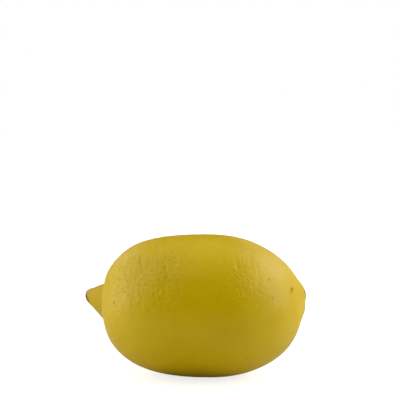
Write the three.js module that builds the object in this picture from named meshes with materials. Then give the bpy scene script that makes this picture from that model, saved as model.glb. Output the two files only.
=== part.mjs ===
// A lemon lying on its side. +X runs from the nipple to the stem, +Z is up, and the origin is on the
// surface that the fruit lies on, below the middle of its box. All lengths are millimetres.
//
// The fruit is one solid. A point of its skin is a formula of two angles: one along the meridian, from
// the nipple's pole to the stem's, and one round the long axis, which is 0 towards +Y and a quarter
// turn towards +Z. Rings of such points are stitched into a closed mesh. The stem button is the calyx
// that stays in its socket when the fruit is clipped from the tree.
import * as THREE from "three";

const { lerp, smoothstep } = THREE.MathUtils;
const TAU = 2 * Math.PI;

// ---- Driving dimensions ---------------------------------------------------------------------

// body
const GIRTH_RADIUS = 30.2; // at the widest section
const NIPPLE_END_LENGTH = 42; // from that section to the end, nipple left out
const STEM_END_LENGTH = 41;
const NIPPLE_END_FULLNESS = 2.69; // exponent of the outline: 2 is an ellipse, more is blunter
const FULLER_ABOVE = 0.22; // added to it on top of that end, taken off below
const STEM_END_FULLNESS = 2.17;
const BOW_RADIUS = 308; // of the long axis, whose ends both lean back towards +Y
const REST_HEIGHT = 29.5; // of the axis above the small flat spot that the fruit lies on

// the poles, which stand a little off the axis and draw the skin near them along
const NIPPLE_POLE = { y: 1, z: 3 };
const STEM_POLE = { y: 3.5, z: 3.4 };
const POLE_REACH = 9;

// nipple
const NIPPLE_HEIGHT = 10;
const NIPPLE_LEAN = 0.08; // travel towards +Y for each millimetre of height
const NIPPLE_ROOT = 10.4; // mean radius of its foot
const ROOT_DROP = 0.8; // the foot is this much wider below, and narrower above
const TIP_RADIUS = 1.9; // of its blunt tip
const TIP_ROUNDING = 1.3;
const FLANK_FLARE = 1.85; // 1 is a straight cone, more flares out towards the foot
const SCAR = { y: -0.7, z: -0.3, radius: 1, depth: 0.7 }; // pit where the style broke off
const FURROW_DEPTH = 1.1; // groove round the foot, on the sides
const FURROW_WIDTH = 2.2;
const FURROW_BIAS = 0.5; // share by which it is deeper on the -Y side
const SHOULDER_HEIGHT = 0.6; // swelling outside the groove, on the -Y side

// stem end
const STEM_LEAN = { y: 0.25, z: -0.1 }; // travel of the stem's axis for each millimetre along +X
const LEAN_REACH = 8;
const NECK_HEIGHT = 0.96; // low mound that carries the button
const NECK_TOP = 3.5;
const NECK_FOOT = 12;
const DIP_DEPTH = 0.9; // shallow dip round the button
const DIP_RADIUS = 6;
const SOCKET_RADIUS = 4.3; // pit in the bottom of the dip, for the button
const SOCKET_SLOPE = 1; // width of its side
const SOCKET_DEPTH = 0.9;
const RIBS = 7; // faint ribs that run out over the neck
const RIB_HEIGHT = 0.15;

// slow swellings of the body
const LOPSIDED = 0.3;
const OVAL = 0.15;
const FACETED = 0.15;

// stem button
const BUTTON_RADIUS = 3.6;
const BUTTON_LOBE = 0.13; // how far its five lobes stand out
const BUTTON_FOOT = 2.7; // its radius at the bottom of the socket
const BUTTON_GAP = 0.35; // clear of the bottom of the socket
const BUTTON_RIM = 0.3; // height of its edge above the bottom of the dip
const BUTTON_DOME = 1.4; // and of its top
const STALK_RADIUS = 1.5; // scar of the stalk: a low knob on the dome
const STALK_HEIGHT = 0.45;

// mesh
const BODY_EDGE = 2.6; // length of a triangle's side on the body
const END_EDGE = 1; // and round each pole
const FINE_REACH = 11; // distance from a pole, along the skin, that stays fine
const COARSE_REACH = 26; // and where the body's own length begins

// ---- The skin's formula ---------------------------------------------------------------------

// A bell of height 1 whose half-width is about the given width.
const bell = (distance, width) => Math.exp(-((distance / width) ** 2));

// A share from 1 inside one radius to 0 outside another.
const plateau = (out, top, foot) => 1 - smoothstep(out, top, foot);

// The plain oval: place along the axis, and distance out from it.
function meridian(angle, turn) {
  const toStem = -Math.cos(angle);
  const stemShare = smoothstep(toStem, -0.6, 0.6);
  const above = FULLER_ABOVE * Math.sin(turn) * Math.sqrt(Math.abs(toStem)) * (1 - stemShare);
  const fullness = lerp(NIPPLE_END_FULLNESS, STEM_END_FULLNESS, stemShare) + above;
  const length = toStem < 0 ? -NIPPLE_END_LENGTH : STEM_END_LENGTH;
  return {
    along: length * Math.abs(toStem) ** (2 / fullness),
    out: GIRTH_RADIUS * Math.max(0, Math.sin(angle)) ** (2 / fullness),
  };
}

// Height of the nipple above the oval, at a distance out from its pole.
function nippleHeight(out, turn) {
  const above = Math.sin(turn);
  const nearSide = -Math.cos(turn);
  const foot = NIPPLE_ROOT - ROOT_DROP * above;
  const pastTip = (out - TIP_RADIUS + Math.hypot(out - TIP_RADIUS, 0.5)) / 2;
  const share = Math.min(1, pastTip / (foot - TIP_RADIUS));
  const flank = (1 - share ** (TIP_ROUNDING + 0.2 * above)) ** (FLANK_FLARE + 0.3 * above);
  const fromScar = Math.hypot(out * Math.cos(turn) - SCAR.y, out * Math.sin(turn) - SCAR.z);
  const scar = SCAR.depth * bell(fromScar, SCAR.radius);
  const furrow = FURROW_DEPTH * (1 + FURROW_BIAS * nearSide) * bell(out - foot - 1, FURROW_WIDTH);
  const shoulder = (SHOULDER_HEIGHT * (1 + nearSide) * bell(out - foot - 5.5, 4.5)) / 2;
  return NIPPLE_HEIGHT * flank - scar - furrow + shoulder;
}

// Height of the stem end above the oval: its neck and ribs, less the dip and the button's socket.
function stemHeight(out, turn) {
  const neck = NECK_HEIGHT * plateau(out, NECK_TOP, NECK_FOOT);
  const dip = DIP_DEPTH * plateau(out, SOCKET_RADIUS, DIP_RADIUS);
  const socket = SOCKET_DEPTH * plateau(out, SOCKET_RADIUS - SOCKET_SLOPE, SOCKET_RADIUS);
  const rib = RIB_HEIGHT * Math.cos(RIBS * turn + 0.6 * Math.sin(2 * turn)) * bell(out - 8.5, 3.5);
  const lean = out * (STEM_LEAN.y * Math.cos(turn) + STEM_LEAN.z * Math.sin(turn));
  return neck + rib - dip - socket - lean * bell(out, LEAN_REACH);
}

// Slow swellings, which no real fruit is without. They fade out towards both poles.
function swelling(angle, turn) {
  const toStem = -Math.cos(angle);
  const lopsided = LOPSIDED * Math.cos(turn - 4.1) * Math.cos(2 * angle);
  const oval = OVAL * Math.cos(2 * turn + 0.5 - 1.2 * toStem);
  const faceted = FACETED * toStem ** 2 * Math.cos(5 * turn - 0.8 + 2 * toStem);
  return (lopsided + oval + faceted) * Math.sin(angle) ** 2;
}

// Bows the long axis, with the sections kept square to it.
function bow(point) {
  const slope = point.x / BOW_RADIUS;
  const back = point.y / Math.hypot(1, slope);
  const x = point.x - back * slope;
  return point.set(x, point.x ** 2 / (2 * BOW_RADIUS) + back, point.z);
}

// A point of the oval, and the direction out of it.
function ovalPoint(angle, turn) {
  const { along, out } = meridian(angle, turn);
  const [pole, length] = along < 0 ? [NIPPLE_POLE, NIPPLE_END_LENGTH] : [STEM_POLE, STEM_END_LENGTH];
  const drawn = bell(out, POLE_REACH);
  const y = out * Math.cos(turn) + pole.y * drawn;
  const z = out * Math.sin(turn) + pole.z * drawn;
  const outward = new THREE.Vector3(along / length ** 2, y / GIRTH_RADIUS ** 2, z / GIRTH_RADIUS ** 2);
  return { out, point: new THREE.Vector3(along, y, z), outward: outward.normalize() };
}

const STEM_OUTWARD = new THREE.Vector3(1, STEM_LEAN.y, STEM_LEAN.z).normalize();

// A point of the finished skin, cut off flat where the fruit rests.
function skinPoint(angle, turn) {
  const { out, point, outward } = ovalPoint(angle, turn);
  point.addScaledVector(outward, swelling(angle, turn));
  if (point.x < 0) {
    const height = nippleHeight(out, turn);
    point.x -= height;
    point.y += NIPPLE_LEAN * Math.max(0, height);
  } else {
    point.addScaledVector(STEM_OUTWARD, stemHeight(out, turn));
  }
  bow(point);
  point.z = Math.max(point.z, -REST_HEIGHT);
  return point;
}

// ---- Rings and stitching --------------------------------------------------------------------

// Length of a triangle's side, at a distance along the skin from the nearer pole.
const edgeAt = (fromPole) => lerp(END_EDGE, BODY_EDGE, smoothstep(fromPole, FINE_REACH, COARSE_REACH));

// Meridian angles of the rings, spaced so that the triangles come out nearly equilateral.
function ringPlaces() {
  const STEPS = 4000;
  const at = (i) => skinPoint((Math.PI * i) / STEPS, 0);
  const walked = [0];
  for (let i = 1; i <= STEPS; i++) walked.push(walked[i - 1] + at(i).distanceTo(at(i - 1)));
  const places = [];
  let rows = 0;
  for (let i = 1; i <= STEPS; i++) {
    const edge = edgeAt(Math.min(walked[i], walked[STEPS] - walked[i]));
    rows += (walked[i] - walked[i - 1]) / (edge * Math.sin(Math.PI / 3));
    if (rows >= places.length + 1) places.push({ angle: (Math.PI * i) / STEPS, edge });
  }
  return places;
}

// One ring of points round the fruit. Every other ring is turned by half a step.
function ringAt({ angle, edge }, index) {
  const count = Math.max(6, Math.round((TAU * meridian(angle, 0).out) / edge));
  const shift = (index % 2) / 2;
  return Array.from({ length: count }, (_, i) => {
    const turn = (TAU * (i + shift)) / count;
    return { turn, point: skinPoint(angle, turn) };
  });
}

// Faces between two rings of unlike counts. Each step goes along the ring that lags behind.
function joinRings(near, far, nearStart, farStart) {
  const faces = [];
  const turnOf = (ring, i) => ring[i % ring.length].turn + TAU * Math.floor(i / ring.length);
  const nearAt = (i) => nearStart + (i % near.length);
  const farAt = (i) => farStart + (i % far.length);
  let i = near.length === 1 ? 1 : 0;
  let j = far.length === 1 ? 1 : 0;
  while (i < near.length || j < far.length) {
    const nearLags = turnOf(near, i + 1) <= turnOf(far, j + 1);
    if (j >= far.length || (i < near.length && nearLags)) {
      faces.push(nearAt(i), nearAt(i + 1), farAt(j));
      i++;
    } else {
      faces.push(nearAt(i), farAt(j + 1), farAt(j));
      j++;
    }
  }
  return faces;
}

// One closed surface through a row of rings. The first and last rings are single points.
function stitch(rings) {
  const positions = rings.flat().flatMap(({ point }) => point.toArray());
  const faces = [];
  let start = 0;
  for (let k = 1; k < rings.length; k++) {
    const next = start + rings[k - 1].length;
    faces.push(...joinRings(rings[k - 1], rings[k], start, next));
    start = next;
  }
  const geometry = new THREE.BufferGeometry();
  geometry.setAttribute("position", new THREE.Float32BufferAttribute(positions, 3));
  geometry.setIndex(faces);
  geometry.computeVertexNormals();
  return geometry;
}

// ---- The pieces -----------------------------------------------------------------------------

function makeFruit() {
  const pole = (angle) => [{ turn: 0, point: skinPoint(angle, 0) }];
  const geometry = stitch([pole(0), ...ringPlaces().map(ringAt), pole(Math.PI)]);
  const rind = new THREE.MeshStandardMaterial({ color: 0xe6c232, roughness: 0.45, metalness: 0 });
  const fruit = new THREE.Mesh(geometry, rind);
  fruit.name = "fruit";
  return fruit;
}

// The button's outline from its foot to its middle, above the bottom of the dip.
function buttonOutline() {
  const foot = BUTTON_GAP - SOCKET_DEPTH;
  const top = BUTTON_DOME + STALK_HEIGHT;
  const outline = new THREE.Path();
  outline.moveTo(0, foot);
  outline.lineTo(BUTTON_FOOT, foot);
  outline.lineTo(BUTTON_RADIUS, BUTTON_RIM);
  outline.bezierCurveTo(BUTTON_RADIUS, 0.9, 2.7, BUTTON_DOME, STALK_RADIUS + 0.25, BUTTON_DOME);
  outline.quadraticCurveTo(STALK_RADIUS, BUTTON_DOME, STALK_RADIUS, BUTTON_DOME + 0.2);
  outline.quadraticCurveTo(STALK_RADIUS, top, 1, top);
  outline.quadraticCurveTo(0.5, top, 0, top - 0.2);
  return outline;
}

// Draws the edge of a lathed disc out into lobes.
function addLobes(geometry, lobes) {
  const position = geometry.attributes.position;
  for (let i = 0; i < position.count; i++) {
    const [x, z] = [position.getX(i), position.getZ(i)];
    const share = Math.hypot(x, z) / BUTTON_RADIUS;
    const stretch = 1 + (BUTTON_LOBE / BUTTON_RADIUS) * share ** 2 * Math.cos(lobes * Math.atan2(z, x));
    position.setX(i, x * stretch);
    position.setZ(i, z * stretch);
  }
}

// A point on the stem's own axis, at a height above the oval.
function onStemAxis(height) {
  const { point } = ovalPoint(Math.PI, 0);
  return bow(point.addScaledVector(STEM_OUTWARD, height));
}

function makeStemButton() {
  const geometry = new THREE.LatheGeometry(buttonOutline().getPoints(4), 30);
  addLobes(geometry, 5);
  geometry.computeVertexNormals();
  const calyx = new THREE.MeshStandardMaterial({ color: 0x8f8a45, roughness: 0.8, metalness: 0 });
  const button = new THREE.Mesh(geometry, calyx);
  button.name = "stem_button";
  const outward = onStemAxis(1).sub(onStemAxis(0)).normalize();
  button.quaternion.setFromUnitVectors(new THREE.Vector3(0, 1, 0), outward);
  button.position.copy(onStemAxis(NECK_HEIGHT - DIP_DEPTH));
  return button;
}

// Both pieces, moved so that the origin is at the bottom centre of their box.
function makeLemon() {
  const lemon = new THREE.Group();
  lemon.add(makeFruit(), makeStemButton());
  const box = new THREE.Box3().setFromObject(lemon, true);
  const middle = box.getCenter(new THREE.Vector3());
  lemon.position.set(-middle.x, -middle.y, -box.min.z);
  return lemon;
}

export default makeLemon();
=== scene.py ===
import math

import bpy
import numpy as np
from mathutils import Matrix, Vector, noise


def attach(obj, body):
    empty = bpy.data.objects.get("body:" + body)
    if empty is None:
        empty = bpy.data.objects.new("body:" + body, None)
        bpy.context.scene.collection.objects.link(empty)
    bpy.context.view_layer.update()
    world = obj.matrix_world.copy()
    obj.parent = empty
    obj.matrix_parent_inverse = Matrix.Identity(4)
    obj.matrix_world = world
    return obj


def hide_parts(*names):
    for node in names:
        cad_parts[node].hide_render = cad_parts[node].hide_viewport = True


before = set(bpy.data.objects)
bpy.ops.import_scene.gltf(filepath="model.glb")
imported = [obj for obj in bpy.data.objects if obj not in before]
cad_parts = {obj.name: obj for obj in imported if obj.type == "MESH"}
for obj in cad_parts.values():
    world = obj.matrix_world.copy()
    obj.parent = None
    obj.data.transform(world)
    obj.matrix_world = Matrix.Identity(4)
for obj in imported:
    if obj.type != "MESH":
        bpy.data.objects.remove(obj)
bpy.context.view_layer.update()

# A lemon lying on its side on a white table: the fruit, and the stem button in its socket. +X runs from
# the nipple to the stem, +Z is up and the table is at z = 0. The fruit, its button and the patterns on
# them are measured in millimetres, and both meshes are scaled to metres as they are made. The camera,
# the table and the lamps are in metres.


# ==== Camera ==================================================================================
# A long lens stands in front of the fruit, a little towards its stem end and a little above it, and
# looks slightly down, so that the table runs back to a high horizon.

MM = 0.001

CAMERA_LENS = 100.7
CAMERA_SENSOR = 36  # wide
CAMERA_NEAREST = 0.01
CAMERA_DISTANCE = 0.468  # level, from the fruit's widest section
CAMERA_HEIGHT = 0.1125
CAMERA_ROUND = math.radians(3.5)  # round towards the stem end
CAMERA_DOWN = math.radians(4.65)
CAMERA_ASIDE = math.radians(0.256)  # turned left, so that the fruit sits right of the middle
WIDEST_X = 4.5 * MM  # the widest section, from the middle of the fruit's box

camera_data = bpy.data.cameras.new("camera")
camera_data.lens = CAMERA_LENS
camera_data.sensor_width = CAMERA_SENSOR
camera_data.sensor_fit = "HORIZONTAL"
camera_data.clip_start = CAMERA_NEAREST
camera = bpy.data.objects.new("camera", camera_data)
bpy.context.collection.objects.link(camera)
camera.location = (
    WIDEST_X + CAMERA_DISTANCE * math.sin(CAMERA_ROUND),
    -CAMERA_DISTANCE * math.cos(CAMERA_ROUND),
    CAMERA_HEIGHT,
)
camera.rotation_euler = (math.pi / 2 - CAMERA_DOWN, 0, CAMERA_ROUND + CAMERA_ASIDE)
bpy.context.scene.camera = camera


# ==== Fruit ===================================================================================
# Rind, pith and flesh grew as one body. Its skin is waxed yellow rind, dimpled all over by the oil
# glands just below it, with a blunt nipple where the flower's style broke off and a low neck round
# the stem.

# the body's oval
GIRTH_RADIUS = 30.2
NIPPLE_END_LENGTH = 42
STEM_END_LENGTH = 41
NIPPLE_END_FULLNESS = 2.69  # exponent of the outline: 2 is an ellipse, more is blunter
FULLER_ABOVE = 0.22
STEM_END_FULLNESS = 2.17
WAIST_BLEND = 0.6  # one end's outline passes into the other's within about this share of its length
BOW_RADIUS = 308  # of the long axis, whose ends lean back towards +Y
REST_HEIGHT = 29.5  # of the axis above the table

# the poles stand a little off the axis and draw the skin near them along
NIPPLE_POLE = (1, 3)
STEM_POLE = (3.5, 3.4)
POLE_REACH = 9

# the nipple, and the groove round its foot
NIPPLE_HEIGHT = 10
NIPPLE_LEAN = 0.08
NIPPLE_ROOT = 10.4
ROOT_DROP = 0.8
TIP_RADIUS = 1.9
TIP_EASE = 0.5  # how softly its top turns down
TIP_ROUNDING = 1.3
ROUNDER_ABOVE = 0.2
FLANK_FLARE = 1.85
WIDER_ABOVE = 0.3
SCAR_AT = (-0.7, -0.3)
SCAR_RADIUS = 1
SCAR_DEPTH = 0.7
FURROW_DEPTH = 1.1
FURROW_WIDTH = 2.2
FURROW_BIAS = 0.5
FURROW_OUT = 1  # from the nipple's foot
SHOULDER_HEIGHT = 0.6
SHOULDER_WIDTH = 4.5
SHOULDER_OUT = 5.5

# the stem end: neck, dip, socket and ribs
STEM_LEAN = (0.25, -0.1)
LEAN_REACH = 8
NECK_HEIGHT = 0.96
NECK_TOP = 3.5
NECK_FOOT = 12
DIP_DEPTH = 0.9
DIP_RADIUS = 6
SOCKET_RADIUS = 4.3
SOCKET_SLOPE = 1
SOCKET_DEPTH = 0.9
RIBS = 7
RIB_HEIGHT = 0.15
RIB_WANDER = 0.6
RIB_OUT = 8.5
RIB_WIDTH = 3.5

# slow swellings of the body: how high, where round it they start, and how far they twist along it
LOPSIDED = 0.3
LOPSIDED_TURN = 4.1
OVAL = 0.15
OVAL_TURN = 0.5
OVAL_TWIST = 1.2
FACETS = 5
FACETED = 0.15
FACET_TURN = 0.8
FACET_TWIST = 2


def bell(distance, width):
    """1 in the middle, and next to nothing at twice the width."""
    return np.exp(-((distance / width) ** 2))


def rise(value, low, high):
    """0 below the low value and 1 above the high one, eased between them."""
    share = np.clip((value - low) / (high - low), 0, 1)
    return share * share * (3 - 2 * share)


# The skin is one closed surface, worked out from two angles: one along the meridian, from the nipple's
# pole to the stem's, and one round the long axis, 0 towards +Y and a quarter turn up.
def meridian(angle, turn):
    """How far the plain oval stands along the axis, and how far out from it."""
    to_stem = -np.cos(angle)
    stem_share = rise(to_stem, -WAIST_BLEND, WAIST_BLEND)
    above = FULLER_ABOVE * np.sin(turn) * np.sqrt(np.abs(to_stem)) * (1 - stem_share)
    fullness = NIPPLE_END_FULLNESS + (STEM_END_FULLNESS - NIPPLE_END_FULLNESS) * stem_share + above
    length = np.where(to_stem < 0, -NIPPLE_END_LENGTH, STEM_END_LENGTH)
    along = length * np.abs(to_stem) ** (2 / fullness)
    out = GIRTH_RADIUS * np.maximum(0, np.sin(angle)) ** (2 / fullness)
    return along, out


def nipple_height(out, turn):
    """How far the nipple stands out of the oval, with its scar, furrow and shoulder."""
    above, near_side = np.sin(turn), -np.cos(turn)
    foot = NIPPLE_ROOT - ROOT_DROP * above
    past_tip = (out - TIP_RADIUS + np.hypot(out - TIP_RADIUS, TIP_EASE)) / 2
    share = np.minimum(1, past_tip / (foot - TIP_RADIUS))
    flank = (1 - share ** (TIP_ROUNDING + ROUNDER_ABOVE * above)) ** (FLANK_FLARE + WIDER_ABOVE * above)
    from_scar = np.hypot(out * np.cos(turn) - SCAR_AT[0], out * np.sin(turn) - SCAR_AT[1])
    scar = SCAR_DEPTH * bell(from_scar, SCAR_RADIUS)
    furrow = FURROW_DEPTH * (1 + FURROW_BIAS * near_side) * bell(out - foot - FURROW_OUT, FURROW_WIDTH)
    shoulder = SHOULDER_HEIGHT * (1 + near_side) * bell(out - foot - SHOULDER_OUT, SHOULDER_WIDTH) / 2
    return NIPPLE_HEIGHT * flank - scar - furrow + shoulder


def stem_height(out, turn):
    """How far the stem end stands out of the oval, with its ribs, dip and socket."""
    neck = NECK_HEIGHT * (1 - rise(out, NECK_TOP, NECK_FOOT))
    dip = DIP_DEPTH * (1 - rise(out, SOCKET_RADIUS, DIP_RADIUS))
    socket = SOCKET_DEPTH * (1 - rise(out, SOCKET_RADIUS - SOCKET_SLOPE, SOCKET_RADIUS))
    rib = RIB_HEIGHT * np.cos(RIBS * turn + RIB_WANDER * np.sin(2 * turn)) * bell(out - RIB_OUT, RIB_WIDTH)
    lean = out * (STEM_LEAN[0] * np.cos(turn) + STEM_LEAN[1] * np.sin(turn))
    return neck + rib - dip - socket - lean * bell(out, LEAN_REACH)


def swelling(angle, turn):
    """How far uneven growth pushes the body's skin out."""
    to_stem = -np.cos(angle)
    lopsided = LOPSIDED * np.cos(turn - LOPSIDED_TURN) * np.cos(2 * angle)
    oval = OVAL * np.cos(2 * turn + OVAL_TURN - OVAL_TWIST * to_stem)
    faceted = FACETED * to_stem**2 * np.cos(FACETS * turn - FACET_TURN + FACET_TWIST * to_stem)
    return (lopsided + oval + faceted) * np.sin(angle) ** 2


def bow(x, y, z):
    """A place beside a straight axis, moved to where the bowed axis takes it."""
    slope = x / BOW_RADIUS
    back = y / np.hypot(1, slope)
    return np.stack([x - back * slope, x**2 / (2 * BOW_RADIUS) + back, z], axis=-1)


def oval_point(angle, turn):
    """A point of the oval, drawn aside with the pole that is near."""
    along, out = meridian(angle, turn)
    at_nipple = along < 0
    drawn = bell(out, POLE_REACH)
    y = out * np.cos(turn) + np.where(at_nipple, NIPPLE_POLE[0], STEM_POLE[0]) * drawn
    z = out * np.sin(turn) + np.where(at_nipple, NIPPLE_POLE[1], STEM_POLE[1]) * drawn
    return along, out, y, z


stem_outward = np.array([1, *STEM_LEAN]) / np.linalg.norm([1, *STEM_LEAN])


def skin(angle, turn):
    """The skin before its relief, from the middle of the widest section."""
    x, out, y, z = oval_point(angle, turn)
    at_nipple = x < 0
    length = np.where(at_nipple, NIPPLE_END_LENGTH, STEM_END_LENGTH)
    outward = np.stack([x / length**2, y / GIRTH_RADIUS**2, z / GIRTH_RADIUS**2])
    swell = swelling(angle, turn) * outward / np.linalg.norm(outward, axis=0)
    at_tip = nipple_height(out, turn)
    at_stem = stem_height(out, turn)
    x = x + swell[0] + np.where(at_nipple, -at_tip, stem_outward[0] * at_stem)
    y = y + swell[1] + np.where(at_nipple, NIPPLE_LEAN * np.maximum(0, at_tip), stem_outward[1] * at_stem)
    z = z + swell[2] + np.where(at_nipple, 0, stem_outward[2] * at_stem)
    return bow(x, y, z)


# Rings of points run round the fruit, close enough for its larger pores, and finer at both ends.
BODY_EDGE = 0.46
END_EDGE = 0.3
FINE_REACH = 9
COARSE_REACH = 20
TIP_EDGE = 0.17  # round the scar on the nipple
TIP_REACH = (5, 7.5)
MERIDIAN_STEPS = 20000
ROW_SHARE = math.sin(math.pi / 3)  # rows of even triangles stand this much of an edge apart
FEWEST_IN_RING = 6


def ring_places():
    """The rings' angles along the meridian, and the distance between the points of each."""
    angles = np.linspace(0, math.pi, MERIDIAN_STEPS + 1)
    steps = np.linalg.norm(np.diff(skin(angles, np.zeros_like(angles)), axis=0), axis=1)
    walked = np.concatenate([[0], np.cumsum(steps)])
    from_pole = np.minimum(walked, walked[-1] - walked)
    edges = END_EDGE + (BODY_EDGE - END_EDGE) * rise(from_pole, FINE_REACH, COARSE_REACH)
    edges = TIP_EDGE + (edges - TIP_EDGE) * rise(walked, *TIP_REACH)
    rows = np.concatenate([[0], np.cumsum(steps / (edges[1:] * ROW_SHARE))])
    at_rows = np.arange(1, int(rows[-1]))
    return np.interp(at_rows, rows, angles), np.interp(at_rows, rows, edges)


def ring_turns():
    """The rings' angles, with the poles, and where round the axis the points of each stand."""
    turns = [np.zeros(1)]
    angles, edges = ring_places()
    counts = np.round(2 * math.pi * meridian(angles, 0 * angles)[1] / edges)
    for row, count in enumerate(np.maximum(FEWEST_IN_RING, counts).astype(int)):
        turns.append(2 * math.pi * (np.arange(count) + (row % 2) / 2) / count)
    turns.append(np.zeros(1))
    return [0, *angles, math.pi], turns


def stitch(turns):
    """Triangles between rings of unlike counts: each step goes along the ring that lags behind."""
    faces = []
    start = 0
    for near, far in zip(turns, turns[1:]):
        far_start = start + len(near)
        near_next = np.append(near[1:], near[0] + 2 * math.pi)
        far_next = np.append(far[1:], far[0] + 2 * math.pi)
        i = 1 if len(near) == 1 else 0
        j = 1 if len(far) == 1 else 0
        while i < len(near) or j < len(far):
            if j >= len(far) or (i < len(near) and near_next[i] <= far_next[j]):
                faces.append((start + i, start + (i + 1) % len(near), far_start + j % len(far)))
                i += 1
            else:
                faces.append((start + i % len(near), far_start + (j + 1) % len(far), far_start + j))
                j += 1
        start = far_start
    return faces


def new_piece(name, points, faces, material):
    """A smooth closed mesh from points in millimetres, linked into the scene."""
    mesh = bpy.data.meshes.new(name)
    mesh.from_pydata((points * MM).tolist(), [], faces)
    mesh.shade_smooth()
    mesh.materials.append(material)
    piece = bpy.data.objects.new(name, mesh)
    bpy.context.collection.objects.link(piece)
    return piece


def point_normals(points, faces):
    """The way out of a closed surface at each of its points."""
    corners = points[np.array(faces)]
    across = np.cross(corners[:, 1] - corners[:, 0], corners[:, 2] - corners[:, 0])
    normals = np.zeros_like(points)
    for corner in range(3):
        np.add.at(normals, np.array(faces)[:, corner], across)
    return normals / np.linalg.norm(normals, axis=1, keepdims=True)


ring_angles, turns = ring_turns()
skin_angle = np.concatenate([np.full(len(turn), angle) for angle, turn in zip(ring_angles, turns)])
skin_turn = np.concatenate(turns)
skin_out = meridian(skin_angle, skin_turn)[1]
skin_points = skin(skin_angle, skin_turn)
skin_faces = stitch(turns)
skin_normals = point_normals(skin_points, skin_faces)

# Relief stands on that form, and each kind of it keeps to its own part of the skin, by the distance from
# the scar on the nipple or from the stem. The pairs of distances say where a kind sets in or dies away.
AXIS_AT = np.array([4.498, -0.179, REST_HEIGHT])  # the widest section's middle, from that of the box


def stem_axis(height):
    """A point of the stem's own axis, at a height above the oval."""
    pole = np.array([STEM_END_LENGTH, *STEM_POLE]) + stem_outward * height
    return bow(*pole)


def noise_at(points):
    """Smooth noise at each point, in hills about one unit across."""
    return np.array([noise.noise(point) for point in points.tolist()])


def from_seeds(points):
    """How far each point is from the nearest of many seeds, about one unit apart."""
    return np.array([noise.voronoi(point)[0][0] for point in points.tolist()])


at_nipple = skin_angle < math.pi / 2
scar_off_y = skin_out * np.cos(skin_turn) - SCAR_AT[0]
scar_off_z = skin_out * np.sin(skin_turn) - SCAR_AT[1]
from_scar_axis = np.where(at_nipple, np.hypot(scar_off_y, scar_off_z), np.inf)
scar_place = skin_points[0]
scar_pit = skin_points[np.argmin(from_scar_axis)]
stem_place = stem_axis(NECK_HEIGHT - DIP_DEPTH)
from_scar = np.linalg.norm(skin_points - scar_place, axis=1)
from_stem = np.linalg.norm(skin_points - stem_place, axis=1)

# Slow unevenness, pebbles and faint streaks round the girth, and over them the pits of the oil glands,
# which are shallower at both ends.
SWELLS = ((10, 10, 0.12), (4.2, 7.5, 0.04), (1.7, 5.5, 0.07), (1, 2, 0.025))  # mm along, round, high
SWELLS_START = (3.5, 7)
PIT_SPACING = (0.93, 1.3)  # along the fruit, and round it
PIT_RADIUS = 0.36  # in spacings
PIT_DEPTH = 0.19
PIT_DEPTH_AT_ENDS = 0.25  # of that
RIND_FROM_SCAR = (1.5, 6)
RIND_FROM_STEM = (5, 12)

relief = np.zeros(len(skin_points))
for along, across, high in SWELLS:
    relief += high * noise_at(skin_points / (along, across, across))
relief *= rise(from_stem, *SWELLS_START)
pits = bell(from_seeds(skin_points / (PIT_SPACING[0], PIT_SPACING[1], PIT_SPACING[1])), PIT_RADIUS)
on_rind = rise(from_scar, *RIND_FROM_SCAR) * rise(from_stem, *RIND_FROM_STEM)
relief -= PIT_DEPTH * (PIT_DEPTH_AT_ENDS + (1 - PIT_DEPTH_AT_ENDS) * on_rind) * pits

# All this is strong on both sides of the waist, weaker underneath, on top and near the stem, and faint
# in one smooth spot.
STRENGTH_AT = (-38, -30, -20, -12, -4, 4, 10, 17, 22, 30)  # along the fruit, from the middle of its box
STRENGTH = (1.1, 2.2, 1.6, 1.8, 1.45, 0.35, 0.5, 1.2, 1.3, 0.6)
STRENGTH_HEIGHTS = (0, 8, 14, 24)  # above the axis
STRENGTH_UP = (0.4, 1, 1, 0.75)
SMOOTH_SPOT = (5, -30, 28)
SMOOTH_RADIUS = 16
SMOOTHED_BY = 0.85

strength = np.interp(skin_points[:, 0] + AXIS_AT[0], STRENGTH_AT, STRENGTH)
strength *= np.interp(skin_points[:, 2], STRENGTH_HEIGHTS, STRENGTH_UP)
from_smooth = np.linalg.norm(skin_points + AXIS_AT - SMOOTH_SPOT, axis=1)
strength *= 1 - SMOOTHED_BY * bell(from_smooth, SMOOTH_RADIUS)
relief *= strength

# Creases run up the nipple to the scar on its tip. Cracks and warts roughen the cork round the stem. A
# slow wander makes the lines stray, and the edge of the cork uneven.
WANDER_SIZE = 3
LINE_WANDER = 1.5
EDGE_WANDER = 2
CREASES = 9
CREASE_DEPTH = 0.12
CREASES_START = (1.2, 3)
CREASES_END = (6, 11)
CRACKS = 13
CRACK_DEPTH = 0.16
WART_SPACING = 0.9
WART_HEIGHT = 0.1
WART_LEVEL = 0.6
CORK_START = (3.9, 4.8)
CORK_END = (6, 9.5)


def sharp_wave(turn, count, wander, uneven=0.8, sharpness=12):
    """Creases at uneven steps round an axis: 1 in the bottom of each, and 0 between them."""
    return np.abs(np.cos(count * turn / 2 + uneven * np.sin(2 * turn) + wander)) ** sharpness


wander = noise_at(skin_points / WANDER_SIZE)
on_nipple = rise(from_scar, *CREASES_START) * (1 - rise(from_scar, *CREASES_END)) * at_nipple
relief -= CREASE_DEPTH * on_nipple * sharp_wave(skin_turn, CREASES, LINE_WANDER * wander)
on_cork = rise(from_stem, *CORK_START) * (1 - rise(from_stem + EDGE_WANDER * wander, *CORK_END))
relief -= CRACK_DEPTH * on_cork * sharp_wave(skin_turn, CRACKS, LINE_WANDER * wander)
relief += WART_HEIGHT * on_cork * (WART_LEVEL - from_seeds(skin_points / WART_SPACING))

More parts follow.
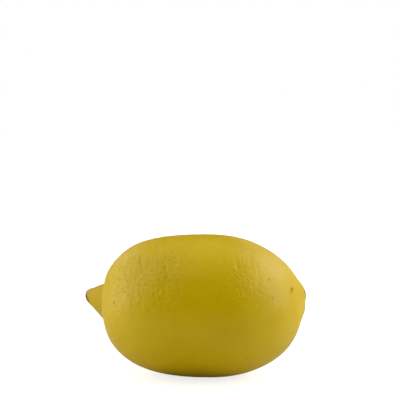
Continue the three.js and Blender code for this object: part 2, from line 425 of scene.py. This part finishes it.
# A crack has opened beside the scar, and five growth creases run down one side, the deepest ones towards
# the nipple. Each goes through a few points, measured from the middle of the fruit's box.
TIP_CRACK = ((-46.75, 3.1, 33), (-46.6, 2.9, 32.3), (-46.2, 2.5, 31.4), (-45.6, 2.1, 30.4))
TIP_CRACK_WIDTH = 0.32
TIP_CRACK_DEPTH = 0.25
GROWTH_CREASES = (  # depth, and the points
    (0.28, ((-21.3, -15.1, 52.1), (-20.5, -18.5, 49.7), (-19.8, -21.5, 46.9))),
    (0.22, ((-11.8, -20.2, 50.9), (-9.8, -23.1, 48.1), (-9.3, -25.5, 44.7))),
    (0.16, ((-5.1, -26.5, 43.8), (-4.2, -27.8, 41.1), (-3.8, -28.8, 38.5))),
    (0.1, ((18.2, -20.4, 50.5), (19, -21.7, 48.8), (19.2, -23.2, 46.9))),
    (0.08, ((24.2, -15, 52.5), (24.2, -16.4, 51.5), (24.3, -17.8, 50.4))),
)
GROWTH_CREASE_WIDTH = 0.45
GROWTH_CREASE_BROKEN = (-0.3, 0.2)  # levels of the wander between which they reach their full depth


def from_line(points, path):
    """Distance of each point from a line through a few places."""
    nearest = np.full(len(points), np.inf)
    for start, end in zip(np.array(path), np.array(path)[1:]):
        along = end - start
        share = np.clip((points - start) @ along / np.dot(along, along), 0, 1)
        nearest = np.minimum(nearest, np.linalg.norm(points - start - share[:, None] * along, axis=1))
    return nearest


tip_crack = bell(from_line(skin_points + AXIS_AT, TIP_CRACK), TIP_CRACK_WIDTH)
relief -= TIP_CRACK_DEPTH * tip_crack
creased = np.zeros(len(skin_points))
for depth, path in GROWTH_CREASES:
    creased += depth * bell(from_line(skin_points + AXIS_AT, path), GROWTH_CREASE_WIDTH)
creased *= (1 + rise(wander, *GROWTH_CREASE_BROKEN)) / 2
relief -= creased

# The socket stays smooth, and the fruit's weight flattens the spot that it rests on. Pits and growth
# creases are shaded by the material too.
SOCKET_EDGE = (3, 4.4)
FULL_SHADE_STRENGTH = 1.3  # the pits are shaded most where the relief is as strong as this
GROWTH_CREASE_SHADE = 8  # pits' worth of shade for each millimetre of depth

relief *= rise(from_stem, *SOCKET_EDGE)
skin_points = skin_points + skin_normals * relief[:, None]
skin_points[:, 2] = np.maximum(skin_points[:, 2], -REST_HEIGHT)
skin_points = skin_points + AXIS_AT
# how much tint and painted shade each pit and growth crease gets
skin_pit_tint_and_shade = np.minimum(pits * on_rind * strength / FULL_SHADE_STRENGTH, 1)
skin_pit_tint_and_shade = np.maximum(skin_pit_tint_and_shade, GROWTH_CREASE_SHADE * creased)


# The rind's finish is made of nodes. The button and the table use the same helpers and effects.


def add_node(tree, kind, sockets=None, **settings):
    """A node with its settings made, and its inputs joined to sockets or set to values."""
    node = tree.nodes.new(kind)
    for name, value in settings.items():
        setattr(node, name, value)
    for name, value in (sockets or {}).items():
        if isinstance(value, bpy.types.NodeSocket):
            tree.links.new(value, node.inputs[name])
        else:
            node.inputs[name].default_value = value
    return node


def maths(tree, operation, first, second):
    return add_node(tree, "ShaderNodeMath", {0: first, 1: second}, operation=operation).outputs[0]


def plus(tree, value, mask, times):
    """A value with a mask added to it, so many times over: a ragged one makes a distance uneven."""
    return maths(tree, "ADD", value, maths(tree, "MULTIPLY", mask, times))


def graded(tree, value, low, high, to_low=0.0, to_high=1.0):
    """A value eased from one range into another."""
    sockets = {"Value": value, "From Min": low, "From Max": high, "To Min": to_low, "To Max": to_high}
    return add_node(tree, "ShaderNodeMapRange", sockets, interpolation_type="SMOOTHSTEP").outputs[0]


MIX_FACTOR, MIX_UNDER, MIX_OVER, MIX_RESULT = 0, 6, 7, 2  # sockets of a mix of colours


def tinted(tree, mask, under, over):
    """One colour over another, where the mask says."""
    sockets = {MIX_FACTOR: mask}
    for socket, colour in ((MIX_UNDER, under), (MIX_OVER, over)):
        sockets[socket] = colour if isinstance(colour, bpy.types.NodeSocket) else (*colour, 1)
    return add_node(tree, "ShaderNodeMix", sockets, data_type="RGBA").outputs[MIX_RESULT]


def cloud_mask(tree, place, size, low, high):
    """Soft-edged patches of a given size in millimetres. The mask runs from low to high."""
    per_size = maths(tree, "DIVIDE", 1.0, size)
    sockets = {"Vector": place, "Scale": per_size, "Detail": 3.0, "Roughness": 0.55}
    return graded(tree, add_node(tree, "ShaderNodeTexNoise", sockets).outputs[0], low, high)


def pock_mask(tree, place, spacing, radius):
    """Round spots at uneven distances, 1 in the middle of each and 0 at its edge."""
    per_spacing = maths(tree, "DIVIDE", 1.0, spacing)
    sockets = {"Vector": place, "Scale": per_spacing}
    from_middle = add_node(tree, "ShaderNodeTexVoronoi", sockets).outputs["Distance"]
    return graded(tree, maths(tree, "MULTIPLY", from_middle, spacing), radius, 0.0)


def new_effect(name, make_mask, **values):
    """A node group round one kind of mask, with an input for each of its values."""
    effect = bpy.data.node_groups.new(name, "ShaderNodeTree")
    effect.interface.new_socket(name="Place", in_out="INPUT", socket_type="NodeSocketVector")
    for socket, value in values.items():
        made = effect.interface.new_socket(name=socket, in_out="INPUT", socket_type="NodeSocketFloat")
        made.default_value = value
    effect.interface.new_socket(name="Mask", in_out="OUTPUT", socket_type="NodeSocketFloat")
    given = effect.nodes.new("NodeGroupInput").outputs
    mask = make_mask(effect, given["Place"], *(given[socket] for socket in values))
    effect.links.new(mask, effect.nodes.new("NodeGroupOutput").inputs["Mask"])
    return effect


blotches = new_effect("blotches", cloud_mask, Size=5.0, Low=0.35, High=0.65)
pocks = new_effect("pocks", pock_mask, Spacing=1.0, Radius=0.4)


def placed(tree, effect, place, **values):
    """An effect's mask in a material, with its own values."""
    node = add_node(tree, "ShaderNodeGroup", node_tree=effect)
    tree.links.new(place, node.inputs["Place"])
    for name, value in values.items():
        node.inputs[name].default_value = value
    return node.outputs["Mask"]


def new_material(name):
    """A material, its node tree, its shader, and a place on the piece in millimetres."""
    material = bpy.data.materials.new(name)
    material.use_nodes = True
    tree = material.node_tree
    in_metres = add_node(tree, "ShaderNodeTexCoord").outputs["Object"]
    scaled = add_node(tree, "ShaderNodeVectorMath", {0: in_metres, "Scale": 1 / MM}, operation="SCALE")
    return material, tree, tree.nodes["Principled BSDF"], scaled.outputs[0]


def point_value(piece, name, values):
    """Keeps a value at each point of a piece, for its material."""
    piece.data.attributes.new(name, "FLOAT", "POINT").data.foreach_set("value", values)


def kept_value(tree, name):
    """The value kept at the piece's points under this name."""
    return add_node(tree, "ShaderNodeAttribute", attribute_name=name).outputs["Fac"]


def distance_from(tree, place, middle):
    """How far a place is from a fixed point."""
    sockets = {0: place, 1: tuple(float(value) for value in middle)}
    return add_node(tree, "ShaderNodeVectorMath", sockets, operation="DISTANCE").outputs["Value"]


# The rind is ripe yellow, paler and deeper in patches, and painted shade darkens it underneath, round
# the spot it rests on. A reach says how far from its middle a colour sets in and how far it is full,
# and a cover how much of the skin it then hides.
RIPE_YELLOW = (0.8, 0.545, 0)
PALE_YELLOW = (0.83, 0.58, 0.001)
DEEP_YELLOW = (0.76, 0.5, 0)
DEEP_COVER = 0.18
# painted shade under the fruit, where it rests on the table
BELLY_SHADE_YELLOW = (0.63, 0.42, 0)
BELLY_MIDDLE = (1, -6, 2)
BELLY_SHADE_REACH = (22, 8)

rind, tree, shader, place = new_material("rind")
paler = placed(tree, blotches, place, Size=16.0, Low=0.3, High=0.7)
colour = tinted(tree, paler, RIPE_YELLOW, PALE_YELLOW)
deeper = placed(tree, blotches, place, Size=4.5, Low=0.45, High=0.75)
colour = tinted(tree, maths(tree, "MULTIPLY", deeper, DEEP_COVER), colour, DEEP_YELLOW)
from_belly = distance_from(tree, place, BELLY_MIDDLE)
# painted shade: a deeper yellow round the spot the fruit rests on
colour = tinted(tree, graded(tree, from_belly, *BELLY_SHADE_REACH), colour, BELLY_SHADE_YELLOW)

# Patches of painted sheen: a pale cream painted on the wax where highlights and reflections of the room
# fall.
SHEEN_CREAM = (0.98, 0.68, 0.09)
PAINTED_SHEEN_PATCHES = (  # middle, how far it reaches, how far it is full, and cover
    ((38.6, 20.8, 58.7), 38, 23, 0.9),
    ((-29.5, 3.6, 47.8), 21.5, 7, 0.95),
    ((42.5, -9, 40), 8, 3, 0.28),
    ((37.5, -18, 22), 9, 3, 0.2),
    ((-30, -20, 38), 14, 5, 0.2),
    ((27, -21.5, 44), 9, 1, 0.3),
    ((-21, -23.5, 43), 9, 1, 0.18),
    ((-27, -21, 23), 10, 1, 0.12),
)

for middle, reach, full, cover in PAINTED_SHEEN_PATCHES:
    painted_sheen = graded(tree, distance_from(tree, place, middle), reach, full, 0.0, cover)
    # a patch of painted highlight
    colour = tinted(tree, painted_sheen, colour, SHEEN_CREAM)

# Each oil gland is a darker spot, partly its own deeper tint and partly painted shade in its pit, and the
# growth creases carry painted shade too. The smallest ones show only here, the more the coarser the skin
# is.
GLAND_TINT_AND_SHADE_YELLOW = (0.66, 0.44, 0)
GLAND_TINT_AND_SHADE_COVER = 0.3

pit_tint_and_shade = kept_value(tree, "pit_tint_and_shade")
coarse = kept_value(tree, "coarse")
small_gland = maths(tree, "MULTIPLY", placed(tree, pocks, place, Spacing=0.9, Radius=0.34), coarse)
# darker glands: their own tint, and painted shade in their pits and in the growth creases
colour = tinted(tree, maths(tree, "MULTIPLY", pit_tint_and_shade, GLAND_TINT_AND_SHADE_COVER), colour, GLAND_TINT_AND_SHADE_YELLOW)
colour = tinted(tree, maths(tree, "MULTIPLY", small_gland, GLAND_TINT_AND_SHADE_COVER), colour, GLAND_TINT_AND_SHADE_YELLOW)

# Rubs and specks. These masks also say where the wax is gone, so they are made in the material itself.
MARK_BROWN = (0.46, 0.26, 0)
MARKS = (  # place, radius and cover
    ((40.9, -12.6, 39.1), 1.1, 0.85),
    ((40.5, -14, 38), 1.1, 0.4),
    ((33.1, -21.9, 36.9), 0.6, 0.6),
    ((31.4, -19.1, 43.9), 0.55, 0.55),
    ((-31.3, -20.7, 34), 0.6, 0.65),
    ((-29.9, -21.9, 32.7), 0.4, 0.45),
    ((-29, -22.8, 31.2), 0.35, 0.35),
    ((23.2, -21.5, 12.2), 0.6, 0.3),
)
MARK_EDGE = 0.55  # outside its radius
MARK_FULL = 0.6  # of its radius
MARK_STRAY = 0.4  # how far its ragged edge strays
SPECK_SPACING = 8.5
SPECK_RADIUS = 0.4
SPECK_COVER = 0.35
RAGGED_SIZE = 1.6
RAGGED_RANGE = (0.2, 0.8)

ragged = cloud_mask(tree, place, RAGGED_SIZE, *RAGGED_RANGE)
marked = maths(tree, "MULTIPLY", pock_mask(tree, place, SPECK_SPACING, SPECK_RADIUS), SPECK_COVER)
for middle, radius, cover in MARKS:
    from_mark = plus(tree, distance_from(tree, place, middle), ragged, MARK_STRAY)
    mark = graded(tree, from_mark, radius + MARK_EDGE, radius * MARK_FULL, 0.0, cover)
    marked = maths(tree, "MAXIMUM", marked, mark)
colour = tinted(tree, marked, colour, MARK_BROWN)

# Fine creases run round the girth in broken lengths, where the skin is coarse, with painted shade in them.
FINE_CREASE_CELLS = (0.3, 0.085, 0.085)  # to each millimetre along, across and up
FINE_CREASE_WIDTH = 0.07  # of a cell
FINE_CREASE_SHADE_COVER = 0.25
FINE_CREASE_COARSE = (0.4, 1.3)  # coarseness where they set in, and where they are full

sockets = {0: place, 1: FINE_CREASE_CELLS}
stretched = add_node(tree, "ShaderNodeVectorMath", sockets, operation="MULTIPLY").outputs[0]
sockets = {"Vector": stretched, "Scale": 1.0}
from_edge = add_node(tree, "ShaderNodeTexVoronoi", sockets, feature="DISTANCE_TO_EDGE").outputs["Distance"]
crease = graded(tree, from_edge, FINE_CREASE_WIDTH, 0.0)
crease = maths(tree, "MULTIPLY", crease, placed(tree, blotches, place, Size=9.0, Low=0.56, High=0.68))
crease = maths(tree, "MULTIPLY", crease, graded(tree, coarse, *FINE_CREASE_COARSE))
# painted shade in the fine creases
colour = tinted(tree, maths(tree, "MULTIPLY", crease, FINE_CREASE_SHADE_COVER), colour, GLAND_TINT_AND_SHADE_YELLOW)

# The nipple is a deeper yellow, with painted shade in a ring round its root, in the groove, and tanned at
# its tip, where the scar and the crack are brown.
NIPPLE_YELLOW = (0.66, 0.435, 0)
NIPPLE_REACH = (15, 8)
NIPPLE_COVER = 0.8
# painted shade in the groove round the nipple's root
ROOT_SHADE_YELLOW = (0.6, 0.4, 0)
ROOT_INNER = (7.5, 11.5)
ROOT_OUTER = (16.5, 13.5)
ROOT_SHADE_COVER = 0.65
TIP_TAN = (0.58, 0.385, 0.13)
TAN_REACH = (6, 3.4)
TAN_STRAY = 1.2
TAN_COVER = 0.8
SCAR_BROWN = (0.16, 0.085, 0.03)
SCAR_REACH = (2, 1.4)
SCAR_STRAY = 0.7
CRACK_BROWN = (0.03, 0.013, 0.003)
CRACK_BREAKS = (0.1, 0.6)  # of the ragged mask, between which it widens from its least
CRACK_LEAST = 0.5
CRACK_EDGE = (0.08, 0.4)

from_tip = distance_from(tree, place, scar_place + AXIS_AT)
colour = tinted(tree, graded(tree, from_tip, *NIPPLE_REACH, 0.0, NIPPLE_COVER), colour, NIPPLE_YELLOW)
# painted shade round the nipple's root
root_shade = graded(tree, from_tip, *ROOT_INNER, 0.0, ROOT_SHADE_COVER)
root_shade = maths(tree, "MULTIPLY", root_shade, graded(tree, from_tip, *ROOT_OUTER))
colour = tinted(tree, root_shade, colour, ROOT_SHADE_YELLOW)
tanned = graded(tree, plus(tree, from_tip, ragged, TAN_STRAY), *TAN_REACH, 0.0, TAN_COVER)
colour = tinted(tree, tanned, colour, TIP_TAN)
from_scar_pit = distance_from(tree, place, scar_pit + AXIS_AT)
scarred = graded(tree, plus(tree, from_scar_pit, ragged, SCAR_STRAY), *SCAR_REACH)
colour = tinted(tree, scarred, colour, SCAR_BROWN)
width = graded(tree, ragged, *CRACK_BREAKS, CRACK_LEAST, 1.0)
cracked = graded(tree, maths(tree, "MULTIPLY", kept_value(tree, "crack"), width), *CRACK_EDGE)
colour = tinted(tree, cracked, colour, CRACK_BROWN)

# Corky russet surrounds the stem, and painted shade darkens the bottom of the socket round the button.
RUSSET = (0.34, 0.19, 0.055)
RUSSET_GREEN = (0.3, 0.24, 0.03)
RUSSET_REACH = (9.7, 6.5)
RUSSET_STRAY = 3
RUSSET_COVER = 0.85
# painted shade in the socket round the button
SOCKET_SHADE_BROWN = (0.05, 0.035, 0.008)
SOCKET_SHADE_REACH = (5.4, 4.2)
SOCKET_SHADE_STRAY = 1

from_button = distance_from(tree, place, stem_place + AXIS_AT)
corked = graded(tree, plus(tree, from_button, ragged, RUSSET_STRAY), *RUSSET_REACH)
greener = placed(tree, blotches, place, Size=2.6, Low=0.4, High=0.65)
russet = tinted(tree, greener, RUSSET, RUSSET_GREEN)
colour = tinted(tree, maths(tree, "MULTIPLY", corked, RUSSET_COVER), colour, russet)
# the socket's floor, with painted shade in it
socket_floor_and_shade = graded(tree, plus(tree, from_button, ragged, SOCKET_SHADE_STRAY), *SOCKET_SHADE_REACH)
colour = tinted(tree, socket_floor_and_shade, colour, SOCKET_SHADE_BROWN)
tree.links.new(colour, shader.inputs["Base Color"])

# The wax shines most where it is seen aslant. It is dulled where the fruit rests and in one rubbed spot
# low on the stem end, and worn off the nipple, marks, crack and cork.
WAX_ROUGHNESS = (0.4, 0.48)
CORK_ROUGHER = 0.35
GLAND_ROUGHER = 0.08
WAX_IOR = 1.38
WAX_SHINE = 0.75
WAX_SHINE_FALL = 0.35  # power of the slant
LIMB_SHINE = 0.7
LIMB_SLANT = (0.45, 0.9)
WAX_REACH = (14, 40)  # from the belly's middle, where the least is left, to where all is
WAX_LEAST = 0.1
RUBBED_SPOT = (45, -5, 25)
RUBBED_REACH = (5, 12)
RUBBED_LEAST = 0.35
NIPPLE_WEAR_REACH = (24, 18)
NIPPLE_WEAR = 0.5
CORK_WEAR = 0.8
COAT = 0.08
COAT_ROUGHNESS = 0.3

cork = maths(tree, "MAXIMUM", scarred, maths(tree, "MAXIMUM", corked, socket_floor_and_shade))
waxy = placed(tree, blotches, place, Size=3.0, Low=0.3, High=0.7)
roughness = plus(tree, graded(tree, waxy, 0.0, 1.0, *WAX_ROUGHNESS), cork, CORK_ROUGHER)
tree.links.new(plus(tree, roughness, pit_tint_and_shade, GLAND_ROUGHER), shader.inputs["Roughness"])

slant = add_node(tree, "ShaderNodeLayerWeight", {"Blend": 0.5}).outputs["Facing"]
shine = maths(tree, "MULTIPLY", maths(tree, "POWER", slant, WAX_SHINE_FALL), WAX_SHINE)
shine = maths(tree, "ADD", shine, graded(tree, slant, *LIMB_SLANT, 0.0, LIMB_SHINE))
waxed = graded(tree, from_belly, *WAX_REACH, WAX_LEAST, 1.0)
shine = maths(tree, "MULTIPLY", shine, waxed)
rubbed = graded(tree, distance_from(tree, place, RUBBED_SPOT), *RUBBED_REACH, RUBBED_LEAST, 1.0)
shine = maths(tree, "MULTIPLY", shine, rubbed)
worn = graded(tree, from_tip, *NIPPLE_WEAR_REACH, 0.0, NIPPLE_WEAR)
worn = maths(tree, "MAXIMUM", worn, maths(tree, "MAXIMUM", marked, cracked))
worn = maths(tree, "MAXIMUM", worn, maths(tree, "MULTIPLY", cork, CORK_WEAR))
shine = maths(tree, "MULTIPLY", shine, maths(tree, "SUBTRACT", 1.0, worn))
tree.links.new(shine, shader.inputs["Specular IOR Level"])
shader.inputs["IOR"].default_value = WAX_IOR
tree.links.new(maths(tree, "MULTIPLY", waxed, COAT), shader.inputs["Coat Weight"])
shader.inputs["Coat Roughness"].default_value = COAT_ROUGHNESS

# The finest relief, in millimetres: small glands, the grain between them, and cork at both ends.
GRAIN_HEIGHT = 0.025
SMALL_GLAND_DEPTH = 0.08
FINE_CREASE_DEPTH = 0.06
CORK_HEIGHT = 0.12

grain = placed(tree, blotches, place, Size=0.7, Low=0.2, High=0.8)
corky = maths(tree, "MULTIPLY", placed(tree, blotches, place, Size=0.5, Low=0.3, High=0.7), cork)
height = maths(tree, "MULTIPLY", grain, GRAIN_HEIGHT)
height = plus(tree, height, small_gland, -SMALL_GLAND_DEPTH)
height = plus(tree, height, crease, -FINE_CREASE_DEPTH)
height = plus(tree, height, corky, CORK_HEIGHT)
bump = add_node(tree, "ShaderNodeBump", {"Height": height, "Distance": MM, "Strength": 1.0})
tree.links.new(bump.outputs["Normal"], shader.inputs["Normal"])

fruit = new_piece("fruit_skin", skin_points, skin_faces, rind)
point_value(fruit, "pit_tint_and_shade", skin_pit_tint_and_shade)
point_value(fruit, "coarse", strength)
point_value(fruit, "crack", tip_crack)
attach(fruit, "root")
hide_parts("fruit")


# ==== Stem button =============================================================================
# The calyx of the flower, grown into a small woody disc that stays in its socket when the stalk is
# clipped: an olive dome with five faint lobes, furrowed towards the pale scar of the stalk on top.

BUTTON_RADIUS = 3.6
BUTTON_LOBES = 5
BUTTON_LOBE = 0.13
BUTTON_FOOT = 2.7
BUTTON_GAP = 0.35  # clear of the bottom of the socket
BUTTON_RIM = 0.3
BUTTON_DOME = 1.4
DOME_STEEP_TO = 0.9  # height up to which its side stands steep
DOME_FLAT_TO = 2.7  # radius out to which its top lies flat
STALK_RADIUS = 1.5
STALK_HEIGHT = 0.45
STALK_FILLET = (0.25, 0.2)  # out, and up
STALK_TOP = 1
STALK_HOLLOW = (0.5, 0.2)  # radius and depth, in the middle of its scar
BUTTON_ROUND = 220  # points in each ring
BUTTON_EDGE = 0.1  # between the rings

BUTTON_FURROWS = 15
BUTTON_FURROW_DEPTH = 0.16
BUTTON_FURROW_TWIST = 0.5  # radians for each millimetre out
BUTTON_FURROWS_FULL = 2.2
BUTTON_RIM_EASE = 0.3
BUTTON_GRAIN = ((1.6, 0.1), (0.55, 0.06), (0.22, 0.025))  # size and height of each layer
STRANDS = 8  # ends of the sap strands, as pits in the stalk's scar
STRAND_STRAY_ROUND = (0.25, 5)  # share of a step, and how fast that changes from strand to strand
STRAND_STRAY_OUT = (0.15, 7)
STRAND_RING = 0.85
STRAND_RADIUS = 0.17
STRAND_DEPTH = 0.22


def curve_points(*controls, count=24):
    """Points of a Bezier curve of any degree, its first one left out."""
    share = np.linspace(0, 1, count + 1)[1:, None]
    degree = len(controls) - 1
    return sum(
        math.comb(degree, i) * share**i * (1 - share) ** (degree - i) * np.array(control)
        for i, control in enumerate(controls)
    )


button_foot = BUTTON_GAP - SOCKET_DEPTH
stalk_top = BUTTON_DOME + STALK_HEIGHT
rim = (BUTTON_RADIUS, BUTTON_RIM)
dome_edge = (STALK_RADIUS + STALK_FILLET[0], BUTTON_DOME)
stalk_foot = (STALK_RADIUS, BUTTON_DOME + STALK_FILLET[1])
stalk_edge = (STALK_TOP, stalk_top)
outline = np.concatenate(
    [
        [[0, button_foot]],
        curve_points((0, button_foot), (BUTTON_FOOT, button_foot)),
        curve_points((BUTTON_FOOT, button_foot), rim),
        curve_points(rim, (BUTTON_RADIUS, DOME_STEEP_TO), (DOME_FLAT_TO, BUTTON_DOME), dome_edge),
        curve_points(dome_edge, (STALK_RADIUS, BUTTON_DOME), stalk_foot),
        curve_points(stalk_foot, (STALK_RADIUS, stalk_top), stalk_edge),
        curve_points(stalk_edge, (STALK_HOLLOW[0], stalk_top), (0, stalk_top - STALK_HOLLOW[1])),
    ]
)
outline_walked = np.concatenate([[0], np.cumsum(np.linalg.norm(np.diff(outline, axis=0), axis=1))])
at_rings = np.linspace(0, outline_walked[-1], round(outline_walked[-1] / BUTTON_EDGE) + 1)
ring_radius = np.interp(at_rings, outline_walked, outline[:, 0])
ring_height = np.interp(at_rings, outline_walked, outline[:, 1])

button_turns = [np.zeros(1)]
for row in range(1, len(at_rings) - 1):
    button_turns.append(2 * math.pi * (np.arange(BUTTON_ROUND) + (row % 2) / 2) / BUTTON_ROUND)
button_turns.append(np.zeros(1))
button_turn = np.concatenate(button_turns)
button_out = np.concatenate([np.full(len(turn), out) for turn, out in zip(button_turns, ring_radius)])
button_up = np.concatenate([np.full(len(turn), up) for turn, up in zip(button_turns, ring_height)])
lobes = np.cos(BUTTON_LOBES * button_turn)
lobed_out = button_out * (1 + BUTTON_LOBE / BUTTON_RADIUS * (button_out / BUTTON_RADIUS) ** 2 * lobes)
across, back = lobed_out * np.cos(button_turn), lobed_out * np.sin(button_turn)
button_points = np.stack([across, button_up, back], axis=-1)
button_faces = stitch(button_turns)
button_normals = point_normals(button_points, button_faces)
if button_normals[-1, 1] < 0:
    button_faces = [face[::-1] for face in button_faces]
    button_normals = -button_normals

on_dome = rise(button_out, STALK_RADIUS, BUTTON_FURROWS_FULL)
on_dome *= rise(button_up, BUTTON_RIM - BUTTON_RIM_EASE, BUTTON_RIM + BUTTON_RIM_EASE)
furrowed = on_dome * sharp_wave(button_turn, BUTTON_FURROWS, BUTTON_FURROW_TWIST * button_out)
button_relief = -BUTTON_FURROW_DEPTH * furrowed
for size, high in BUTTON_GRAIN:
    button_relief += high * noise_at(button_points / size)
strands = np.zeros(len(button_points))
for k in range(STRANDS):
    angle = 2 * math.pi * (k + STRAND_STRAY_ROUND[0] * math.sin(STRAND_STRAY_ROUND[1] * k)) / STRANDS
    at = STRAND_RING * (1 + STRAND_STRAY_OUT[0] * math.cos(STRAND_STRAY_OUT[1] * k))
    off = np.hypot(button_points[:, 0] - at * math.cos(angle), button_points[:, 2] - at * math.sin(angle))
    strands = np.maximum(strands, bell(off, STRAND_RADIUS))
strands = strands * (button_up > BUTTON_DOME)
button_relief -= STRAND_DEPTH * strands
button_points = button_points + button_normals * button_relief[:, None]

stem_way = Vector(stem_axis(1) - stem_axis(0)).normalized()
tilt = np.array(Vector((0, 1, 0)).rotation_difference(stem_way).to_matrix())
button_points = button_points @ tilt.T + stem_place + AXIS_AT

BUTTON_OLIVE = (0.33, 0.31, 0.06)
BUTTON_PALE = (0.46, 0.42, 0.13)
BUTTON_GREEN = (0.22, 0.25, 0.03)
# dark flecks, and painted shade in the strands' pits and furrows
BUTTON_FLECK_AND_SHADE_DARK = (0.1, 0.075, 0.02)
STALK_TAN = (0.5, 0.42, 0.22)
STALK_GREY = (0.38, 0.34, 0.22)
FLECK_COVER = 0.6
PIT_AND_FURROW_SHADE_COVER = 0.8
FURROW_SHADE = 0.6  # of a strand's pit
STALK_STRAY = 0.5
STALK_REACH = (2.1, 1.5)
BUTTON_ROUGHNESS = (0.68, 0.86)
FIBRE_HEIGHT = 0.05
FLECK_DEPTH = 0.05

calyx, tree, shader, place = new_material("calyx")
scar_spot = stem_axis(NECK_HEIGHT - DIP_DEPTH + stalk_top) + AXIS_AT
from_scar_spot = distance_from(tree, place, scar_spot)
paler = placed(tree, blotches, place, Size=2.2, Low=0.35, High=0.65)
colour = tinted(tree, paler, BUTTON_OLIVE, BUTTON_PALE)
greener = placed(tree, blotches, place, Size=1.1, Low=0.5, High=0.72)
colour = tinted(tree, greener, colour, BUTTON_GREEN)
flecks = placed(tree, pocks, place, Spacing=0.75, Radius=0.2)
colour = tinted(tree, maths(tree, "MULTIPLY", flecks, FLECK_COVER), colour, BUTTON_FLECK_AND_SHADE_DARK)
ragged = placed(tree, blotches, place, Size=0.5, Low=0.2, High=0.8)
clipped = graded(tree, plus(tree, from_scar_spot, ragged, STALK_STRAY), *STALK_REACH)
greyer = placed(tree, blotches, place, Size=0.6, Low=0.4, High=0.6)
stalk_colour = tinted(tree, greyer, STALK_TAN, STALK_GREY)
colour = tinted(tree, clipped, colour, stalk_colour)
# painted shade in the strands' pits and in the furrows of the dome
pit_and_furrow_shade = maths(tree, "MULTIPLY", kept_value(tree, "pit_and_furrow_shade"), PIT_AND_FURROW_SHADE_COVER)
colour = tinted(tree, pit_and_furrow_shade, colour, BUTTON_FLECK_AND_SHADE_DARK)
tree.links.new(colour, shader.inputs["Base Color"])
rough = placed(tree, blotches, place, Size=0.8, Low=0.3, High=0.7)
tree.links.new(graded(tree, rough, 0.0, 1.0, *BUTTON_ROUGHNESS), shader.inputs["Roughness"])
fibres = placed(tree, blotches, place, Size=0.16, Low=0.2, High=0.8)
height = plus(tree, maths(tree, "MULTIPLY", fibres, FIBRE_HEIGHT), flecks, -FLECK_DEPTH)
bump = add_node(tree, "ShaderNodeBump", {"Height": height, "Distance": MM, "Strength": 1.0})
tree.links.new(bump.outputs["Normal"], shader.inputs["Normal"])

button = new_piece("stem_button_calyx", button_points, button_faces, calyx)
point_value(button, "pit_and_furrow_shade", np.maximum(strands, FURROW_SHADE * furrowed))
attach(button, "root")
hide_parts("stem_button")


# ==== Table ===================================================================================
# A plain white table top, of matt laminate, that runs back out of sight. The camera sees it lit up
# from below, as a light table is, so that only a faint shadow lies round the fruit.

TABLE_HALF = 4
TABLE_ROUGHNESS = 0.9
TABLE_SHINE = 0.1
TABLE_WHITE = (0.74, 0.74, 0.74)
TABLE_SHADE = (0.7, 0.7, 0.7)
TABLE_GLOW = (0.76, 1.0)  # near the fruit, and farther off
TABLE_GLOW_REACH = (60, 260)  # in millimetres, as a material's places are

laminate, tree, shader, place = new_material("table_white")
shaded = placed(tree, blotches, place, Size=60.0, Low=0.3, High=0.7)
colour = tinted(tree, shaded, TABLE_WHITE, TABLE_SHADE)
tree.links.new(colour, shader.inputs["Base Color"])
shader.inputs["Roughness"].default_value = TABLE_ROUGHNESS
shader.inputs["Specular IOR Level"].default_value = TABLE_SHINE
seen = add_node(tree, "ShaderNodeLightPath").outputs["Is Camera Ray"]
shader.inputs["Emission Color"].default_value = (1, 1, 1, 1)
glow = graded(tree, distance_from(tree, place, (0, 0, 0)), *TABLE_GLOW_REACH, *TABLE_GLOW)
tree.links.new(maths(tree, "MULTIPLY", seen, glow), shader.inputs["Emission Strength"])

table_mesh = bpy.data.meshes.new("table")
table_corners = [(x * TABLE_HALF, y * TABLE_HALF, 0) for x, y in ((-1, -1), (1, -1), (1, 1), (-1, 1))]
table_mesh.from_pydata(table_corners, [], [(0, 1, 2, 3)])
table_mesh.materials.append(laminate)
table = bpy.data.objects.new("table", table_mesh)
bpy.context.collection.objects.link(table)


# ==== Light ===================================================================================
# Large soft lamps stand on both sides, about as strong on either, and a weak one hangs overhead. The
# room is white where it is seen past the table, and sheds no light of its own.

SOFTBOXES = (  # name, degrees round from the camera towards the stem end, degrees up, size, watts
    ("left_front", -55, 20, (0.5, 0.45), 0.6),
    ("left_side", -82, 22, (0.5, 0.45), 1.31),
    ("left_low", -75, 3, (0.5, 0.3), 1.5),
    ("left_high", -60, 58, (0.5, 0.45), 1.09),
    ("left_rear", -118, 38, (0.5, 0.45), 0.98),
    ("right_side", 82, 22, (0.5, 0.45), 2.52),
    ("right_low", 75, 3, (0.5, 0.3), 0.64),
    ("right_rear", 116, 42, (0.5, 0.45), 2.46),
    ("overhead", 180, 72, (0.8, 0.5), 0.6),
)
SOFTBOX_AWAY = 0.8
LIT_HEIGHT = 0.03

for name, degrees_round, degrees_up, (width, tall), watts in SOFTBOXES:
    lamp = bpy.data.lights.new(name, "AREA")
    lamp.shape = "RECTANGLE"
    lamp.size = width
    lamp.size_y = tall
    lamp.energy = watts
    softbox = bpy.data.objects.new(name, lamp)
    bpy.context.collection.objects.link(softbox)
    aside, up = math.radians(degrees_round), math.radians(degrees_up)
    way = Vector((math.sin(aside) * math.cos(up), -math.cos(aside) * math.cos(up), math.sin(up)))
    softbox.location = way * SOFTBOX_AWAY + Vector((0, 0, LIT_HEIGHT))
    softbox.rotation_euler = (-way).to_track_quat("-Z", "Y").to_euler()
    softbox.visible_camera = False

room = bpy.data.worlds.new("white_room")
bpy.context.scene.world = room
room.use_nodes = True
background = room.node_tree.nodes["Background"]
background.inputs["Color"].default_value = (1, 1, 1, 1)
seen = add_node(room.node_tree, "ShaderNodeLightPath").outputs["Is Camera Ray"]
room.node_tree.links.new(seen, background.inputs["Strength"])
bpy.context.scene.view_settings.view_transform = "Standard"
